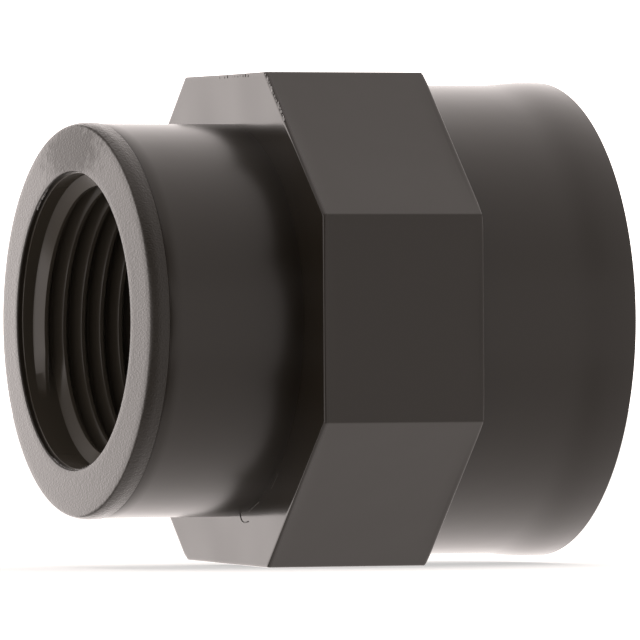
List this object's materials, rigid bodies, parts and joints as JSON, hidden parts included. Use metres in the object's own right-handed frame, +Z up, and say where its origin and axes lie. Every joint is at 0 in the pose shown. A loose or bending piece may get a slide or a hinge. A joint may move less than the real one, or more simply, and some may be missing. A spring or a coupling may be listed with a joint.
{
  "type": "reducing nipple",
  "caption": "Moulded plastic pipe reducer: a small and a large barrel, each with a female pipe thread, either side of an octagonal wrench section.",
  "frame": {"origin": "on the plane that the octagon's bottom flat rests on, below the middle of the fitting's length", "axes": "+X along the axis from the small mouth to the large mouth, +Z up from the flat it rests on, +Y across"},
  "size_m": [0.0456, 0.0444, 0.0444],
  "materials": {
    "black_polypropylene": "moulded satin black with a faint warm cast, grainy on the small mouth's face"
  },
  "bodies": {
    "root": {"body": "black_polypropylene"}
  },
  "joints": []
}
